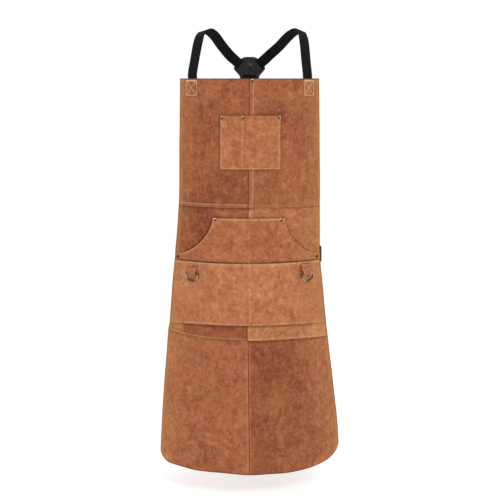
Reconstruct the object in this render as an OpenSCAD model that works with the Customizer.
// Split-leather welding apron with bib, lap and tool pockets, a cross-back
// webbing harness and a waist belt. Millimetres, +Z up, front faces -Y.
// "left" and "right" are as seen from the front, left being -X.
// The origin is the centre of the bottom of the bounding box.

/* [Leather] */
// Thickness of one layer of leather
leather_t = 1.6; // [1.2:0.1:1.6]
// Radius of the upright cylinder the apron hangs on
wrap_r = 300; // [295:1:310]
// Height of the apron from hem to bib top
apron_h = 1066; // [1050:1:1075]
// Width across the bib top
bib_top_w = 380; // [370:2:390]
// Width across the foot of the bib
bib_foot_w = 386; // [384:2:392]
// Width at the top of the tool pocket
waist_w = 401; // [396:1:406]
// Width at the skirt seam
skirt_top_w = 440; // [434:2:446]
// Width across the hem
hem_w = 502; // [490:2:508]
// Height of the foot of the bib
bib_foot_z = 718; // [710:1:724]
// Height of the lower edge of the waist panels
skirt_seam_z = 361; // [350:1:370]
// Radius of the left hem corner
hem_corner_r = 34; // [20:1:50]
// Height of the curve at the right hem corner
hem_corner_right = 56; // [36:1:60]
// Length of that curve along the hem
hem_corner_reach = 100; // [56:2:110]

/* [Pockets] */
// Depth of the pocket cavities
pocket_gape = 3.4; // [3:0.1:4]
// Left edge of the chest pocket
chest_x0 = -79.5; // [-84:0.5:-76]
// Right edge of the chest pocket
chest_x1 = 83.5; // [80:0.5:88]
// Bottom of the chest pocket
chest_z0 = 821; // [810:1:830]
// Top of the chest pocket
chest_z1 = 967; // [960:1:980]
// Half width of the top edge of the lap pocket
lap_top_hw = 97; // [94:1:104]
// Height of the top edge of the lap pocket
lap_z1 = 690; // [684:1:696]
// Height of the bottom edge of the lap pocket
lap_z0 = 570; // [570:1:571]
// Height at which the hand openings meet the side edges
hand_z = 586; // [585:1:592]
// Bottom of the tool pocket
tool_z0 = 401; // [395:1:410]
// Top of the tool pocket
tool_z1 = 569; // [566:1:569]

/* [Webbing] */
// Width of the shoulder webbing
strap_w = 30; // [28:1:32]
// Width of the back and belt webbing
belt_w = 38; // [36:1:38]
// Thickness of the webbing
web_t = 1.4; // [1.2:0.1:1.4]
// Half spacing of the shoulder straps on the bib
strap_x = 158; // [152:1:162]
// Height of the belt centre
belt_z = 578; // [577:1:580]

/* [Hardware] */
// Radius of a rivet cap
cap_r = 4.6; // [4:0.1:4.8]
// Radius of a rivet post
post_r = 1.2; // [1:0.05:1.25]
// Radius of a rivet hole
hole_r = 1.4; // [1.35:0.05:1.5]
// Radius of the D-ring wire
wire_r = 2.0; // [1.9:0.05:2.1]
// Half width of the D-ring
d_ring_r = 20; // [19:0.5:21]
// Half spacing of the D-rings
d_ring_x = 154; // [148:1:158]
// Height of the D-ring bars
d_ring_z = 537; // [530:1:540]

/* [Hidden] */

y_shift = -120;                 // puts the origin under the middle of the box
gap = 0.15;                     // air between two layers
layer_step = leather_t + gap;

// inner radius of each layer
skirt_r = wrap_r;
waist_r = skirt_r + layer_step;
bib_r = waist_r + layer_step;
over_bib_r = bib_r + layer_step;
// radius of the outer pocket faces; the tool pocket shares the lap pocket's
lap_out = bib_r + pocket_gape + leather_t;
chest_out = over_bib_r + pocket_gape + leather_t;

lap_w = 11;                     // width of the lapped centre seam
seam_x = lap_w + gap;           // inner edge of the right panels
skirt_split = 0.1;              // inset of each skirt panel from the middle
skirt_top_z = skirt_seam_z + 24;
skirt_flare_z = 90;             // height of the width station above the hem
waist_top_z = bib_foot_z + 12;
waist_tongue_top = bib_foot_z - 2;

pocket_rim = 8;                 // solid border beside and below a cavity
tool_side_rim = 10;
lap_top_rim = 10;
lap_cavity_hw = 182;
chest_divider_x = -18.5;
chest_divider_hw = 3.5;
divider_x0 = 1;                 // divider of the lap and tool pockets
divider_x1 = 9;
back_cut = 3;                   // how far cavity cuts run inward past the back

anchor_z0 = apron_h - 46;       // lower end of the strap anchors

tan_leather = [0.68, 0.42, 0.28];
dark_leather = [0.56, 0.33, 0.21];
webbing_c = [0.09, 0.09, 0.10];
plastic_c = [0.07, 0.07, 0.08];
brass_c = [0.36, 0.29, 0.19];
thread_c = [0.86, 0.74, 0.50];

// rivets: x, z, radius of the outer face, radius of the inner face
chest_rivet_z = chest_z1 - 7;
chest_rivet_inset = 5.5;
side_rivet_x = 191;
chest_rivets = [for (x = [chest_x0 + chest_rivet_inset, chest_divider_x,
  chest_x1 - chest_rivet_inset]) [x, chest_rivet_z, chest_out, bib_r]];
lap_rivets = [[-90, lap_z1 - 5, lap_out, waist_r], [86, lap_z1 - 6, lap_out, waist_r]];
side_rivet_spots = [for (s = [-1, 1]) [s * side_rivet_x, belt_z, lap_out, skirt_r]];
centre_rivets = [[lap_w / 2, apron_h - 6, over_bib_r + leather_t, bib_r]];

$fn = 48;

// ---------- outlines and curves ----------

// half width of the apron: height, half width
width_stations = [
  [0, hem_w / 2],
  [skirt_flare_z, hem_w / 2 - 6],
  [skirt_seam_z, skirt_top_w / 2],
  [tool_z1, waist_w / 2],
  [bib_foot_z, bib_foot_w / 2],
  [apron_h, bib_top_w / 2]];
function half_width(z) = lookup(z, width_stations);

// Outlines are lists of [x, z]; side is -1 for left and 1 for right.
function stations_between(z0, z1, side) =
  [for (k = width_stations) if (k[0] > z0 + 1 && k[0] < z1 - 1) [side * k[1], k[0]]];
function side_edge(z0, z1, side) = concat([[side * half_width(z0), z0]],
  stations_between(z0, z1, side), [[side * half_width(z1), z1]]);
function panel_outline(z0, z1, x_in, side) =
  concat([[x_in, z0]], side_edge(z0, z1, side), [[x_in, z1]]);
function reversed(list) = [for (i = [len(list) - 1:-1:0]) list[i]];
function rect(x0, z0, x1, z1) = [[x0, z0], [x1, z0], [x1, z1], [x0, z1]];
function unit(v) = v / norm(v);

// thin bar from one point to another
function bar_outline(from, to, width) =
  let (d = unit(to - from), n = [-d[1], d[0]] * width / 2)
  [from - n, to - n, to + n, from + n];

// Catmull-Rom curve through the points, at u counted in points
function curve(points, u) = let (n = len(points) - 1, i = min(floor(u), n - 1), t = u - i,
  a = points[max(i - 1, 0)], b = points[i], c = points[i + 1], d = points[min(i + 2, n)])
  0.5 * (2 * b + (c - a) * t + (2 * a - 5 * b + 4 * c - d) * t * t
  + (3 * b - a - 3 * c + d) * t * t * t);
function curve_points(points, steps) =
  [for (i = [0:(len(points) - 1) * steps]) curve(points, i / steps)];
function tangent(path, i) =
  unit(path[min(i + 1, len(path) - 1)] - path[max(i - 1, 0)]);

// points offset sideways from a 2D path, and the band of thickness t along it
function offset_path(path, dist) =
  [for (i = [0:len(path) - 1]) let (d = tangent(path, i)) path[i] + [-d[1], d[0]] * dist];
function band_outline(path, t) =
  concat(offset_path(path, t / 2), reversed(offset_path(path, -t / 2)));

// ---------- wrapping round the cylinder ----------

module place() { translate([0, y_shift, 0]) children(); }

// upright sheet between radii r0 and r1
module shell(r0, r1, z0, z1)
  translate([0, wrap_r, 0]) rotate([0, 0, -150])
    rotate_extrude(angle = 120, $fn = 240) translate([r0, z0]) square([r1 - r0, z1 - z0]);

// the same, centred phi degrees round from the front and half degrees wide each way
module shell_arc(r0, r1, z0, z1, phi, half)
  translate([0, wrap_r, 0]) rotate([0, 0, -90 + phi - half])
    rotate_extrude(angle = 2 * half, $fn = 360) translate([r0, z0]) square([r1 - r0, z1 - z0]);

// half the angle that a width spans at radius r
function half_deg(width, r) = width / 2 / r * 180 / PI;

// outline in x and z, cut straight through from front to back
module cut(outline)
  translate([0, 260, 0]) rotate([90, 0, 0]) linear_extrude(340) polygon(outline);

// outline cut from a shell
module slab(r0, r1, z0, z1, outline) intersection() {
  shell(r0, r1, z0, z1);
  cut(outline);
}
module sheet(r, outline, z0, z1) slab(r, r + leather_t, z0, z1, outline);

// local frame on the sheet, -Y outward
module at(x, z, r)
  translate([0, wrap_r, z]) rotate([0, 0, asin(x / r)]) translate([0, -r, 0]) children();

// local frame on a rivet's outer face, +Z outward
module at_rivet(spot) at(spot[0], spot[1], spot[2]) rotate([90, 0, 0]) children();

module holes(spots) for (p = spots) at_rivet(p) cylinder(r = hole_r, h = 60, center = true);

// ---------- leather panels ----------

// right-hand panel with its lapped tongue, whose upper end is at tongue_z1
module lapped_panel(r, z0, z1, tongue_z1) {
  tongue_out = r + layer_step + leather_t;
  sheet(r, panel_outline(z0, z1, seam_x, 1), z0, z1);
  slab(r, tongue_out, z0, tongue_z1, rect(seam_x, z0, seam_x + leather_t, tongue_z1));
  slab(r + layer_step, tongue_out, z0, tongue_z1,
    rect(-1, z0, seam_x + leather_t, tongue_z1));
}

module bib_holes() {
  holes(chest_rivets);
  holes(centre_rivets);
}
module bib_panel_left() color(tan_leather) place() difference() {
  sheet(bib_r, panel_outline(bib_foot_z, apron_h, lap_w, -1), bib_foot_z, apron_h);
  bib_holes();
}
module bib_panel_right() color(tan_leather) place() difference() {
  lapped_panel(bib_r, bib_foot_z, apron_h, apron_h);
  bib_holes();
}

module waist_holes() {
  holes(lap_rivets);
  holes(side_rivet_spots);
}
module waist_panel_left() color(dark_leather) place() difference() {
  sheet(waist_r, panel_outline(skirt_seam_z, waist_top_z, lap_w, -1),
    skirt_seam_z, waist_top_z);
  waist_holes();
}
module waist_panel_right() color(tan_leather) place() difference() {
  lapped_panel(waist_r, skirt_seam_z, waist_top_z, waist_tongue_top);
  waist_holes();
}

// hem corner: round on the left, a longer curve on the right
function hem_curve_h(side) = side > 0 ? hem_corner_right : hem_corner_r;
function hem_corner(side) =
  let (h = hem_curve_h(side), reach = side > 0 ? hem_corner_reach : h)
  [for (a = [0:10:90]) [side * (half_width(0) - reach + reach * sin(a)), h - h * cos(a)]];
function skirt_outline(side) = concat([[side * skirt_split, 0]], hem_corner(side),
  stations_between(hem_curve_h(side), skirt_top_z, side),
  [[side * half_width(skirt_top_z), skirt_top_z], [side * skirt_split, skirt_top_z]]);
module skirt_panel(side) sheet(skirt_r, skirt_outline(side), 0, skirt_top_z);
module skirt_panel_left() color(tan_leather) place() skirt_panel(-1);
module skirt_panel_right() color(tan_leather) place() skirt_panel(1);

// ---------- pockets ----------

// clearance in the back of a pocket at radius r, over the lapped centre seam
module seam_clear(r, z0, z1)
  slab(r - back_cut, r + layer_step, z0 - 5, z1 + 5,
    rect(-1.3, z0 - 5, lap_w + leather_t + 0.5, z1 + 5));

// hollow behind the face of a pocket at radius r, limited to the children
module cavity(r, z0, z1) intersection() {
  shell(r - back_cut, r + pocket_gape, z0, z1);
  union() children();
}

module chest_pocket() color(tan_leather) place() difference() {
  floor_z = chest_z0 + pocket_rim;
  open_z = chest_z1 + 4;
  slab(over_bib_r, chest_out, chest_z0, chest_z1,
    rect(chest_x0, chest_z0, chest_x1, chest_z1));
  cavity(over_bib_r, floor_z, chest_z1 + 5) {
    cut(rect(chest_x0 + pocket_rim, floor_z, chest_divider_x - chest_divider_hw, open_z));
    cut(rect(chest_divider_x + chest_divider_hw, floor_z, chest_x1 - pocket_rim, open_z));
  }
  seam_clear(over_bib_r, chest_z0, chest_z1);
  holes(chest_rivets);
}

// hand opening: near a quarter ellipse, from the top edge to the side edge
hand_power = 1.14;              // 1 would be a true ellipse
function hand_opening(side) = let (x1 = half_width(hand_z)) [for (a = [0:10:90])
  [side * (x1 - (x1 - lap_top_hw) * pow(cos(a), hand_power)),
   lap_z1 - (lap_z1 - hand_z) * pow(sin(a), hand_power)]];
lap_outline = concat([[-half_width(lap_z0), lap_z0], [half_width(lap_z0), lap_z0]],
  reversed(hand_opening(1)), hand_opening(-1));

module lap_pocket() color(tan_leather) place() difference() {
  floor_z = lap_z0 + pocket_rim;
  ceiling_z = lap_z1 - lap_top_rim;
  slab(bib_r, lap_out, lap_z0, lap_z1, lap_outline);
  cavity(bib_r, floor_z, ceiling_z) {
    cut(rect(-lap_cavity_hw, floor_z, divider_x0, ceiling_z));
    cut(rect(divider_x1, floor_z, lap_cavity_hw, ceiling_z));
  }
  seam_clear(bib_r, lap_z0, lap_z1);
  holes(lap_rivets);
  holes(side_rivet_spots);
}

module tool_pocket() color(tan_leather) place() difference() {
  floor_z = tool_z0 + pocket_rim;
  open_z = tool_z1 + 4;
  floor_hw = half_width(tool_z0) - tool_side_rim;
  open_hw = half_width(tool_z1) - tool_side_rim;
  slab(bib_r, lap_out, tool_z0, tool_z1,
    concat(side_edge(tool_z0, tool_z1, 1), reversed(side_edge(tool_z0, tool_z1, -1))));
  cavity(bib_r, floor_z, tool_z1 + 5) {
    cut([[-floor_hw, floor_z], [divider_x0, floor_z], [divider_x0, open_z],
      [-open_hw, open_z]]);
    cut([[divider_x1, floor_z], [floor_hw, floor_z], [open_hw, open_z],
      [divider_x1, open_z]]);
  }
  seam_clear(bib_r, tool_z0, tool_z1);
}

// ---------- D-rings ----------

ring_face_r = lap_out + 0.6;    // radius the tabs and rings are set out from
ring_out = wire_r + 2.6;        // bar centre outward of ring_face_r
tab_t = 1.2;
tab_loop_r = 3;                 // middle of the leather round the bar

// folded tab in side view, [y, z]: outer leg, loop under the ring's bar, inner leg
tab_path = concat(
  [[-ring_out + 3.1, d_ring_z + 24], [-ring_out + 2.9, d_ring_z + 8]],
  [for (a = [0:15:180]) [-ring_out + tab_loop_r * cos(a), d_ring_z - tab_loop_r * sin(a)]],
  [[-ring_out - 2.7, d_ring_z + 5], [-3.9, d_ring_z + 12], [-3.05, d_ring_z + 18],
   [-3.0, d_ring_z + 24]]);
// front view of the tab, [x, z]
tab_outline = [[-12, d_ring_z - 6], [12, d_ring_z - 6], [16.5, d_ring_z + 25],
  [-16.5, d_ring_z + 25]];

module d_ring_tab(side) at(side * d_ring_x, 0, ring_face_r) intersection() {
  rotate([90, 0, 90]) translate([0, 0, -20]) linear_extrude(40)
    polygon(band_outline(tab_path, tab_t));
  rotate([90, 0, 0]) translate([0, 0, -10]) linear_extrude(30) polygon(tab_outline);
}
module d_ring_tab_left() color(dark_leather) place() d_ring_tab(-1);
module d_ring_tab_right() color(tan_leather) place() d_ring_tab(1);

// half ring hanging below a straight bar
module d_ring(side) at(side * d_ring_x, d_ring_z, ring_face_r) translate([0, -ring_out, 0]) {
  rotate([90, 0, 0]) rotate([0, 0, 180])
    rotate_extrude(angle = 180) translate([d_ring_r, 0]) circle(r = wire_r, $fn = 32);
  rotate([0, 90, 0]) cylinder(r = wire_r - 0.12, h = 2 * d_ring_r, center = true);
  for (k = [-1, 1]) translate([k * d_ring_r, 0, 0]) sphere(r = wire_r + 0.2);
}
module d_ring_left() color(brass_c) place() d_ring(-1);
module d_ring_right() color(brass_c) place() d_ring(1);

// ---------- strap anchors ----------

strap_phi = asin(strap_x / (bib_r - 0.8));
patch_out = bib_r - 2 * gap - web_t;    // outer face of the patches behind the straps

module strap_anchor(side) shell_arc(bib_r - gap - web_t, bib_r - gap, anchor_z0, apron_h + 1,
  side * strap_phi, half_deg(strap_w, bib_r));
module strap_anchor_left() color(webbing_c) place() strap_anchor(-1);
module strap_anchor_right() color(webbing_c) place() strap_anchor(1);

module strap_patch(side) shell_arc(patch_out - leather_t, patch_out, apron_h - 54, apron_h - 8,
  side * strap_phi, half_deg(strap_w + 12, bib_r));
module strap_patch_left() color(dark_leather) place() strap_patch(-1);
module strap_patch_right() color(dark_leather) place() strap_patch(1);

thread_gap = 0.04;              // air between thread and leather

// stitched box with a cross on the front of the bib
module box_stitching(side) {
  thread_w = 1;
  inset = thread_w / 2;
  x0 = side * strap_x - 14.5;
  x1 = side * strap_x + 14.5;
  z0 = anchor_z0;
  z1 = apron_h - 5;
  intersection() {
    shell(bib_r + leather_t + thread_gap, bib_r + leather_t + 0.4, z0 - 2, z1 + 2);
    union() {
      difference() {
        cut(rect(x0, z0, x1, z1));
        cut(rect(x0 + thread_w, z0 + thread_w, x1 - thread_w, z1 - 2.5));
      }
      cut(bar_outline([x0 + inset, z0 + inset], [x1 - inset, z1 - inset], thread_w));
      cut(bar_outline([x1 - inset, z0 + inset], [x0 + inset, z1 - inset], thread_w));
    }
  }
}
module strap_stitching_left() color(thread_c) place() box_stitching(-1);
module strap_stitching_right() color(thread_c) place() box_stitching(1);

// ---------- rivets ----------

dome_r = 6.6;                   // sphere that rounds a cap
dome_drop = 4.4;                // its centre behind the cap's under-face

module rivet(spot) at_rivet(spot) {
  // domed cap, its flat under-face 0.1 clear of the leather
  translate([0, 0, 0.1]) intersection() {
    cylinder(r = cap_r, h = 4);
    translate([0, 0, -dome_drop]) sphere(r = dome_r, $fn = 64);
  }
  // post, from 1.4 behind the inner face to 0.6 inside the cap
  translate([0, 0, spot[3] - spot[2] - 1.4])
    cylinder(r = post_r, h = spot[2] - spot[3] + 2);
}
// the same rivet spot with its inner face moved to allow for the webbing
function over_webbing(spot, extra) =
  [spot[0], spot[1], spot[2], spot[3] - web_t + extra];

module chest_pocket_rivets() color(brass_c) place() for (p = chest_rivets) rivet(p);
module lap_pocket_rivets() color(brass_c) place() for (p = lap_rivets) rivet(p);
module side_rivets() color(brass_c) place() for (p = side_rivet_spots)
  rivet(over_webbing(p, 1.2));
module bib_centre_rivet() color(brass_c) place() for (p = centre_rivets) rivet(p);

// washer round the inner end of a post
module burr(spot) at_rivet(spot) translate([0, 0, spot[3] - spot[2] - 1.5]) difference() {
  cylinder(r = 4, h = 1.2);
  translate([0, 0, -1]) cylinder(r = post_r + 0.06, h = 4);
}
module rivet_burrs() color(brass_c) place() {
  for (p = concat(chest_rivets, lap_rivets, centre_rivets)) burr(p);
  for (p = side_rivet_spots) burr(over_webbing(p, 1.1));
}

// ---------- shoulder straps ----------

plate_y = 240;                  // middle of the back plate's thickness
slot_x = 27;                    // middle of the right upper slot
slot_z = 1105.7;
slot_tilt = 48.6;
along = [0.75, 0, 0.6614];      // along the strap at the plate, away from it
across = [0.6614, 0, -0.75];    // across the strap there
back = [0, 1, 0];
slot_bar = [slot_x, plate_y, slot_z] + along * 5.6;    // plate edge the strap wraps
slot_wrap = 3.5;                // radius of the wrap

// The straps lie over the shoulders a little unevenly. Both tables are set out
// on the right side, [x, y, z] from front to back.
shoulder_left = [[152.5, 57, 1112], [145, 84, 1160], [137, 112, 1189],
  [124.5, 138, 1201], [104, 166, 1190], [80, 203, 1159]];
shoulder_right = [[155, 57, 1112], [152.5, 84, 1160], [149, 112, 1188],
  [138, 138, 1201], [112, 166, 1192], [83, 203, 1161]];

// middle line of a strap: bib top, shoulder, round the slot bar and back on itself
function strap_path(shoulder) = concat([[strap_x - 0.4, 43.2, apron_h + 15]], shoulder,
  [[slot_bar[0] + 27, 234, slot_bar[2] + 24.5]],
  [for (d = [22, 8]) slot_bar + along * d - back * slot_wrap],
  [for (a = [0:22.5:180])
    slot_bar - along * (2 + slot_wrap * sin(a)) - back * slot_wrap * cos(a)],
  // distance along the strap, distance behind the bar
  [for (p = [[6, slot_wrap], [12, 1.5], [18, -1.4], [24, -1.7]])
    slot_bar + along * p[0] + back * p[1]]);

// width direction at each point of that line
bib_across = [cos(strap_phi), sin(strap_phi), 0];
strap_across = concat([bib_across, bib_across, [0.95, 0.3, 0], [0.97, 0.16, -0.12],
  [0.95, 0.05, -0.3], [0.85, 0.05, -0.5], [0.75, 0, -0.66]], [for (i = [0:15]) across]);
function across_at(u) = let (i = min(floor(u), len(strap_across) - 2), t = u - i)
  strap_across[i] * (1 - t) + strap_across[i + 1] * t;

// flat webbing swept along a 3D path, four corners to each section
module shoulder_strap(shoulder) {
  steps = 3;
  path = curve_points(strap_path(shoulder), steps);
  last = len(path) - 1;
  points = [for (i = [0:last]) let (d = tangent(path, i), rough = across_at(i / steps),
    wide = unit(rough - d * (rough * d)), thick = cross(d, wide))
    for (c = [[-1, -1], [1, -1], [1, 1], [-1, 1]])
      path[i] + wide * c[0] * strap_w / 2 + thick * c[1] * web_t / 2];
  faces = concat([[0, 1, 2], [0, 2, 3]],
    [for (i = [0:last - 1]) for (j = [0:3]) let (a = 4 * i + j, b = 4 * i + (j + 1) % 4)
      each [[a, a + 4, b + 4], [a, b + 4, b]]],
    [[4 * last + 3, 4 * last + 2, 4 * last + 1], [4 * last + 3, 4 * last + 1, 4 * last]]);
  polyhedron(points, faces, convexity = 8);
}
module shoulder_strap_right() color(webbing_c) place() shoulder_strap(shoulder_right);
module shoulder_strap_left() color(webbing_c) place() mirror([1, 0, 0])
  shoulder_strap(shoulder_left);

// ---------- back plate, back strap and slider ----------

bar_z = 1070;                   // height of the plate's lower bar
bar_len = 42;                   // length of the bars that carry the wide webbing

// edge of the plate from bottom to top, [x, z]
function plate_side(side) = [for (p = [[27, -4], [29.5, 4], [45, 22], [46, 26],
  [44, 30], [23, 54], [18, 57], [10, 58.5]]) [side * p[0], bar_z + p[1]]];

module crosspatch() color(plastic_c) place() translate([0, plate_y, 0]) {
  rotate([90, 0, 0]) translate([0, 0, -2]) linear_extrude(4) difference() {
    polygon(concat(plate_side(1), reversed(plate_side(-1))));
    for (s = [-1, 1]) translate([s * slot_x, slot_z])
      rotate(-s * slot_tilt) translate([0, 0.45]) square([strap_w + 3, 3.5], center = true);
    translate([-20.3, bar_z - 5]) square([40.6, 12]);
  }
  translate([0, 0, bar_z]) rotate([0, 90, 0]) cylinder(r = 2.6, h = bar_len, center = true);
  // raised boss on the front face
  translate([0, -1.5, bar_z + 31]) rotate([90, 0, 0]) intersection() {
    cylinder(r = 11, h = 4);
    translate([0, 0, -14.5]) sphere(r = 18, $fn = 64);
  }
}

strap_low = belt_z - 18;        // centre of the belt loop's lower bend
bar_wrap = 3.9;                 // radius round the plate's bar
belt_loop = 4;                  // radius of the belt loop's lower bend

// Side view of the strap, [y from the plate, z]: down from the tail behind, over
// the bar, down the main run, round the belt loop and up to its tail.
back_path = [for (p = concat(
  [[1.65, bar_z - 52], [1.7, bar_z - 28], [3.2, bar_z - 12], [bar_wrap, bar_z - 4]],
  [for (a = [0:20:180]) [bar_wrap * cos(a), bar_z + bar_wrap * sin(a)]],
  [[-bar_wrap, bar_z - 4], [-2.4, bar_z - 12], [-0.3, bar_z - 24], [0, bar_z - 30],
   [0, strap_low + 60], [-0.3, strap_low + 54], [-3.4, strap_low + 44],
   [-belt_loop, strap_low + 34], [-belt_loop, strap_low + 4]],
  [for (a = [180:20:360]) [belt_loop * cos(a), strap_low + belt_loop * sin(a)]],
  [[belt_loop, strap_low + 4], [belt_loop, strap_low + 34], [3.8, strap_low + 42],
   [2, strap_low + 52], [1.7, strap_low + 60], [1.65, strap_low + 84]]))
  [plate_y + p[0], p[1]]];
module back_strap() color(webbing_c) place() rotate([90, 0, 90])
  translate([0, 0, -belt_w / 2]) linear_extrude(belt_w)
    polygon(band_outline(back_path, web_t));

slider_z = 820;
// two sides, two bars in front of the webbing and one behind
module strap_slider() color(plastic_c) place() translate([0, plate_y, slider_z]) {
  for (s = [-1, 1]) translate([s * 21.8 - 1.8, -3.6, -14]) cube([3.6, 7.2, 28]);
  for (z = [-14, 10]) translate([-bar_len / 2, -3.6, z]) cube([bar_len, 2.6, 4]);
  translate([-bar_len / 2, 1, -2.5]) cube([bar_len, 2.6, 5]);
}

// ---------- belt ----------

belt_phi = asin(half_width(belt_z) / skirt_r);
anchor_half = half_deg(36, skirt_r);    // half the angle of a belt anchor 36 long
module belt_anchor(side) difference() {
  shell_arc(waist_r - gap - web_t, waist_r - gap, belt_z - belt_w / 2, belt_z + belt_w / 2,
    side * (belt_phi - anchor_half - 0.3), anchor_half);
  holes(side_rivet_spots);
}
module belt_anchor_left() color(webbing_c) place() belt_anchor(-1);
module belt_anchor_right() color(webbing_c) place() belt_anchor(1);

buckle_x = 73;                  // bar that the belt wraps in the right buckle half
buckle_y = 246;
buckle_wrap = 3.6;

// right belt from above, [x, y]: apron to buckle, round the bar, tail
belt_run = [[203, 83], [205, 104], [199, 145], [178, 190], [142, 222],
  [112, buckle_y - 6], [92, buckle_y - 3.7]];
belt_path = concat(curve_points(belt_run, 6),
  [for (a = [-90:-18:-270]) [buckle_x, buckle_y] + buckle_wrap * [cos(a), sin(a)]],
  [for (p = [[5, 3.4], [12, 0.6], [18, -1.6], [22, -1.8]])
    [buckle_x + p[0], buckle_y + p[1]]]);
module belt() translate([0, 0, belt_z - belt_w / 2]) linear_extrude(belt_w)
  polygon(band_outline(belt_path, web_t));
module belt_right() color(webbing_c) place() belt();
module belt_left() color(webbing_c) place() mirror([1, 0, 0]) belt();

buckle_h = 48;
rail_h = 4;

// bar and side rails that hold the webbing, pointing along +X
module buckle_rails() {
  for (z = [-buckle_h / 2, buckle_h / 2 - rail_h]) translate([58, -3, z])
    cube([17.5, 6, rail_h]);
  translate([buckle_x, 0, 0]) cylinder(r = 2.4, h = bar_len, center = true);
}
module buckle_female() color(plastic_c) place() translate([0, buckle_y, belt_z]) {
  difference() {
    translate([25, -6, -buckle_h / 2]) cube([35, 12, buckle_h]);
    // socket, then a window in the top and the bottom
    translate([20, -3.6, -20.5]) cube([36, 7.2, 41]);
    for (s = [-1, 1]) translate([38, -8, s * buckle_h / 2 - 5]) cube([12, 16, 10]);
  }
  buckle_rails();
}
// modelled pointing along +X, then mirrored to the left
module buckle_male() color(plastic_c) place() mirror([1, 0, 0])
  translate([0, buckle_y, belt_z]) {
    translate([50, -4, -buckle_h / 2]) cube([10, 8, buckle_h]);
    // middle tongue and two outer prongs
    rotate([90, 0, 0]) translate([0, 0, -2.5]) linear_extrude(5) {
      polygon([[51, -4], [51, 4], [28, 3], [26, 1], [26, -1], [28, -3]]);
      for (s = [-1, 1]) polygon([[51, s * 11], [51, s * 16], [42, s * 18.5],
        [40, s * 19.5], [31, s * 19], [26, s * 12], [27, s * 10], [38, s * 13]]);
    }
    buckle_rails();
  }

// ---------- stitching ----------

// A row of thread is [x0, z0, x1, z1].
function level_row(x0, x1, z) = [x0, z, x1, z];
function upright_rows(xs, z0, z1) = [for (x = xs) [x, z0, x, z1]];
// full-width row at z, 4 in from the side edges at edge_z, open at the centre seam
function seam_rows(edge_z, z) = let (x1 = half_width(edge_z) - 4)
  [level_row(-x1, -3, z), level_row(15, x1, z)];
// row inset from each side edge, starting up above z0 and ending down below z1
function side_rows(z0, z1, inset, up, down) = [for (s = [-1, 1])
  [s * (half_width(z0) - inset), z0 + up, s * (half_width(z1) - inset), z1 - down]];

// rows of thread lying on the face at radius r
module rows(list, r, z0, z1) intersection() {
  shell(r + thread_gap, r + 0.36, z0 - 2, z1 + 2);
  union() for (q = list) cut(bar_outline([q[0], q[1]], [q[2], q[3]], 0.7));
}
module cap_clear(spots) for (p = spots) at_rivet(p)
  cylinder(r = cap_r + 0.6, h = 20, center = true);

module chest_pocket_stitching() color(thread_c) place() difference() {
  x0 = chest_x0 + 3;
  x1 = chest_x1 - 3;
  rows(concat([level_row(x0, x1, chest_z0 + 3)],
    upright_rows([x0, x1, chest_divider_x - 2.5, chest_divider_x + 2.5],
      chest_z0 + 4, chest_z1 - 1)),
    chest_out, chest_z0, chest_z1);
  cap_clear(chest_rivets);
}
module lap_pocket_stitching() color(thread_c) place() difference() {
  top_x = lap_top_hw - 4;
  foot_x = half_width(lap_z0) - 4;
  rows(concat([level_row(-top_x, top_x, lap_z1 - 4), level_row(-foot_x, foot_x, lap_z0 + 4)],
    upright_rows([(divider_x0 + divider_x1) / 2], lap_z0 + 6, lap_z1 - 6)),
    lap_out, lap_z0, lap_z1);
  cap_clear(lap_rivets);
  cap_clear(side_rivet_spots);
}
module tool_pocket_stitching() color(thread_c) place() {
  foot_x = half_width(tool_z0) - 5;
  rows(concat([level_row(-foot_x, foot_x, tool_z0 + 4)],
    side_rows(tool_z0, tool_z1, 4, 6, 2),
    upright_rows([3.5, 7], tool_z0 + 6, tool_z1 - 2)),
    lap_out, tool_z0, tool_z1);
}
module seam_stitching() color(thread_c) place() {
  // bib over waist, and the edges of the bib
  rows(concat(seam_rows(bib_foot_z, bib_foot_z + 4), seam_rows(bib_foot_z, bib_foot_z + 8),
    side_rows(bib_foot_z, apron_h, 10, 12, 56)),
    bib_r + leather_t, bib_foot_z, apron_h);
  // lapped centre seam of the bib, below and above the chest pocket
  rows(concat(upright_rows([4, 8.5], bib_foot_z + 3, chest_z0 - 4),
    upright_rows([4, 8.5], chest_z1 + 4, apron_h - 14)),
    over_bib_r + leather_t, bib_foot_z, apron_h);
  // waist panels over skirt
  rows(seam_rows(skirt_seam_z, skirt_seam_z + 4),
    waist_r + leather_t, skirt_seam_z, skirt_seam_z + 20);
}
module skirt_stitching() color(thread_c) place()
  rows(concat(upright_rows([-3, 3], 12, skirt_seam_z - 4),
    side_rows(skirt_flare_z, skirt_seam_z, 10, 0, 4)),
    skirt_r + leather_t, 0, skirt_seam_z);

bib_panel_left();
bib_panel_right();
waist_panel_left();
waist_panel_right();
skirt_panel_left();
skirt_panel_right();
chest_pocket();
lap_pocket();
tool_pocket();
d_ring_tab_left();
d_ring_tab_right();
d_ring_left();
d_ring_right();
strap_anchor_left();
strap_anchor_right();
strap_patch_left();
strap_patch_right();
strap_stitching_left();
strap_stitching_right();
chest_pocket_rivets();
lap_pocket_rivets();
side_rivets();
bib_centre_rivet();
rivet_burrs();
shoulder_strap_left();
shoulder_strap_right();
crosspatch();
back_strap();
strap_slider();
belt_anchor_left();
belt_anchor_right();
belt_left();
belt_right();
buckle_male();
buckle_female();
chest_pocket_stitching();
lap_pocket_stitching();
tool_pocket_stitching();
seam_stitching();
skirt_stitching();
